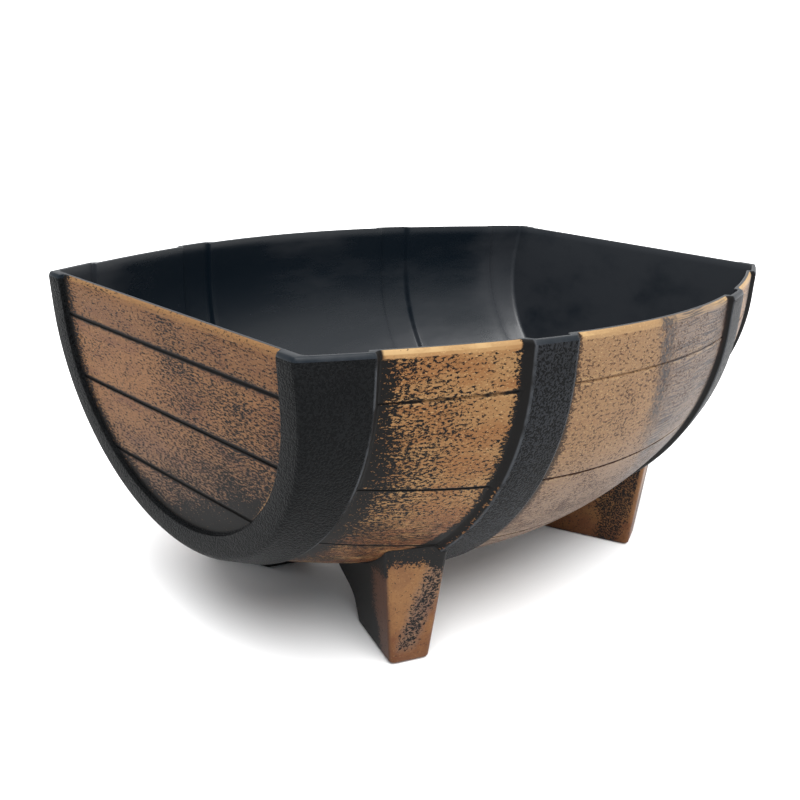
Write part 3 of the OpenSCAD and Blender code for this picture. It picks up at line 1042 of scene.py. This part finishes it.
finishes = dict(staves=stavePaint(), head=headPaint(), grained=grainedPlastic(),
                smooth=smoothPlastic(), rim=rimPlastic(), legs=legPaint())
print("finishes made:", ", ".join(finishes))

tubPiece = finishPiece(makeTub(), "tubMoulding", [finishes[name] for name in faceNumbers],
                       ["tub"])
cutDrains(tubPiece)
mapGrain(tubPiece)
print("tub drilled and mapped")


# The legs

legSizes = dict(
    x=0.1071, y=0.0828, turn=21.4,  # place and turn of the front face, at the ground
    width=0.022, length=0.051, skew=0.014, round=0.003, leastRound=0.0004,
    wall=0.0025, seatGap=0.0002,  # the gap is between the leg and the tub
    outerDraft=0.119, innerDraft=0.067, frontDraft=0.07,
    # (height, how far the back has run out), and how soft its turns are
    back=((0, 0), (0.006, 0.0015), (0.015, 0.005), (0.019, 0.012), (0.023, 0.027), (1, 0.027)),
    backSoftness=0.0018,
    footRound=0.0022, footSteps=4, footLevels=(0.006, 0.010, 0.0135),
    cornerSteps=6, sideSteps=(14, 8, 14, 10), bodyRows=14, hollowRows=3,
    paintHeight=0.02,  # the paint is laid out on the section at this height
    seatSearch=(0.012, 0.09), seatTries=40)


def legBack(z):
    # how far the back has run out at a height
    def sharp(height):
        h = max(0.0, height)
        for (z0, b0), (z1, b1) in zip(legSizes["back"], legSizes["back"][1:]):
            if h <= z1:
                return b0 + (b1 - b0) * (h - z0) / (z1 - z0)
    return softened(sharp, z, legSizes["backSoftness"])


def legColumns():
    # the section's outline as (corner, direction, share along the side after it)
    columns = []
    skewAngle = atan2(-legSizes["width"], legSizes["skew"])
    turns = [(0, pi / 2, 0), (1, 0, skewAngle), (2, skewAngle, -pi), (3, pi, pi / 2)]
    steps = legSizes["cornerSteps"]
    for (corner, start, end), side in zip(turns, legSizes["sideSteps"]):
        columns += [(corner, start + (end - start) * k / steps, 0.0) for k in range(steps + 1)]
        columns += [(corner, end, k / side) for k in range(1, side)]
    return columns


def legPoint(column, z, inset):
    # a point of the outline in the leg's own plan: across the front, and in from it
    s = legSizes
    corner, angle, share = column
    rounding = max(s["leastRound"], s["round"] - inset)
    outer = s["width"] / 2 + s["outerDraft"] * z - inset - rounding
    inner = -s["width"] / 2 - s["innerDraft"] * z + inset + rounding
    front = s["frontDraft"] * z - inset - rounding
    back = -s["length"] - legBack(z) + inset + rounding
    halfSkew = s["skew"] / 2
    corners = [(outer, front), (outer, back + halfSkew), (inner, back - halfSkew), (inner, front)]
    here, there = corners[corner], corners[(corner + 1) % 4]
    u = here[0] + (there[0] - here[0]) * share + rounding * cos(angle)
    v = here[1] + (there[1] - here[1]) * share + rounding * sin(angle)
    return u, v


def legPlace(column, z, inset):
    u, v = legPoint(column, z, inset)
    turn = radians(legSizes["turn"])
    return Vector((legSizes["x"] + u * cos(turn) + v * sin(turn),
                   legSizes["y"] - u * sin(turn) + v * cos(turn), z))


def seatHeight(column, inset):
    # where a column of the leg meets the barrel
    low, high = legSizes["seatSearch"]
    for _ in range(legSizes["seatTries"]):
        z = (low + high) / 2
        p = legPlace(column, z, inset)
        clear = hypot(p.y, axisZ - z) > outerRadius(p.x) + legSizes["seatGap"]
        low, high = (z, high) if clear else (low, z)
    return low


def legLevels(columns):
    # places of each row: round the foot's edge, up to the seat, over the wall, down the hollow
    s = legSizes
    seats = [seatHeight(c, 0) for c in columns]
    innerSeats = [seatHeight(c, s["wall"]) for c in columns]
    levels = []
    for k in range(s["footSteps"] + 1):
        angle = pi / 2 * k / s["footSteps"]
        level = [s["footRound"] * (1 - cos(angle))] * len(columns)
        levels.append((level, s["footRound"] * (1 - sin(angle))))
    levels += [([z] * len(columns), 0) for z in s["footLevels"]]
    start = s["footLevels"][-1]
    for k in range(1, s["bodyRows"] + 1):
        levels.append(([start + (seat - start) * k / s["bodyRows"] for seat in seats], 0))
    for k in range(s["hollowRows"] + 1):
        level = [seat + (s["wall"] - seat) * k / s["hollowRows"] for seat in innerSeats]
        levels.append((level, s["wall"]))
    return [[legPlace(c, z, inset) for c, z in zip(columns, level)] for level, inset in levels]


def makeLeg(pieceName, node, sideX, sideY):
    columns = legColumns()
    levels = legLevels(columns)
    bm = bmesh.new()
    names = ("across", "away", "outward")
    across, away, outward = (bm.verts.layers.float.new(name) for name in names)
    verts, edges = rowOf(bm, levels[0])
    edges.append(bm.edges.new((verts[-1], verts[0])))
    bmesh.ops.contextual_create(bm, geom=edges)
    rows = [verts]
    for places in levels[1:]:
        verts, edges = extrudeRow(bm, verts, edges, places)
        rows.append(verts)
    bmesh.ops.contextual_create(bm, geom=edges)
    # for the paint: across the front, away from its middle, and towards the barrel's end
    outline = [legPoint(c, legSizes["paintHeight"], 0) for c in columns]
    for row in rows:
        for vert, (u, v) in zip(row, outline):
            vert[across], vert[away], vert[outward] = u * sideX * -sideY, abs(u) + max(0, -v), u
    bmesh.ops.scale(bm, verts=bm.verts[:], vec=(sideX, sideY, 1))
    finishPiece(bm, pieceName, [finishes["legs"]], [node])


for sideX, wordX in ((-1, "left"), (1, "right")):
    for sideY, wordY in ((-1, "front"), (1, "back")):
        pieceName = "leg" + wordY.capitalize() + wordX.capitalize()
        makeLeg(pieceName, "leg_" + wordY + "_" + wordX, sideX, sideY)
print("legs made")


# Floor, light and camera

floorLook = dict(radius=12, segments=64, z=-0.0003, colour=(0.92, 0.92, 0.92, 1),
                 roughness=0.9, gloss=0.1)

studio = dict(
    bright=(1.15, 1.15, 1.15, 1), dim=(0.28, 0.31, 0.34, 1),
    brightSide=(0.78, 0.28, 0.56),  # the way to the brighter half of the room
    roomTurn=(-0.45, 0.45),  # where dim turns into bright, along that way
    keyFrom=(-0.26, -0.33, 0.91), keyStrength=6.0, keySpread=56)


def makeFloor():
    bm = bmesh.new()
    bmesh.ops.create_circle(bm, cap_ends=True, segments=floorLook["segments"],
                            radius=floorLook["radius"])
    bmesh.ops.translate(bm, verts=bm.verts[:], vec=(0, 0, floorLook["z"]))
    floor = putInScene("floor", meshFrom(bm, "floor"))
    pale = Finish("paleFloor", floorLook)
    pale.feed("Base Color", floorLook["colour"])
    pale.feed("Roughness", floorLook["roughness"])
    floor.data.materials.append(pale.material)


def makeLights():
    key = bpy.data.lights.new("key", "SUN")
    key.energy, key.angle = studio["keyStrength"], radians(studio["keySpread"])
    lamp = putInScene("key", key)
    lamp.rotation_euler = (-Vector(studio["keyFrom"])).to_track_quat("-Z", "Y").to_euler()
    # the room is bright on one side, above and behind, and dim on the camera's
    world = bpy.data.worlds.new("studio")
    world.use_nodes = True
    room = NodeMaker(world.node_tree, "Background")
    way = room.node("TexCoord", {}, {}, output="Generated")
    brightWay = Vector(studio["brightSide"]).normalized()
    along = room.node("VectorMath", dict(operation="DOT_PRODUCT"), {0: way, 1: brightWay},
                      output="Value")
    brightness = room.rise(along, *studio["roomTurn"])
    room.feed("Color", room.mixed(brightness, studio["dim"], studio["bright"]))
    bpy.context.scene.world = world
    bpy.context.scene.view_settings.view_transform = "Standard"


cameraSizes = dict(place=(-0.4125, -0.3503, 0.2737), yaw=46.96, pitch=18.28, roll=3.35,
                   lens=41.66, nearest=0.01)


def makeCamera():
    yaw, pitch, roll = (radians(cameraSizes[name]) for name in ("yaw", "pitch", "roll"))
    ahead = Vector((sin(yaw) * cos(pitch), cos(yaw) * cos(pitch), -sin(pitch)))
    right = Vector((cos(yaw), -sin(yaw), 0))
    up = right.cross(ahead)
    rolledRight = cos(roll) * right + sin(roll) * up
    rolledUp = cos(roll) * up - sin(roll) * right
    turned = Matrix((rolledRight, rolledUp, -ahead)).transposed().to_4x4()
    lens = bpy.data.cameras.new("camera")
    lens.lens, lens.clip_start = cameraSizes["lens"], cameraSizes["nearest"]
    camera = putInScene("camera", lens)
    camera.matrix_world = Matrix.Translation(cameraSizes["place"]) @ turned
    bpy.context.scene.camera = camera


makeFloor()
makeLights()
makeCamera()
bpy.context.view_layer.update()
print("scene ready")
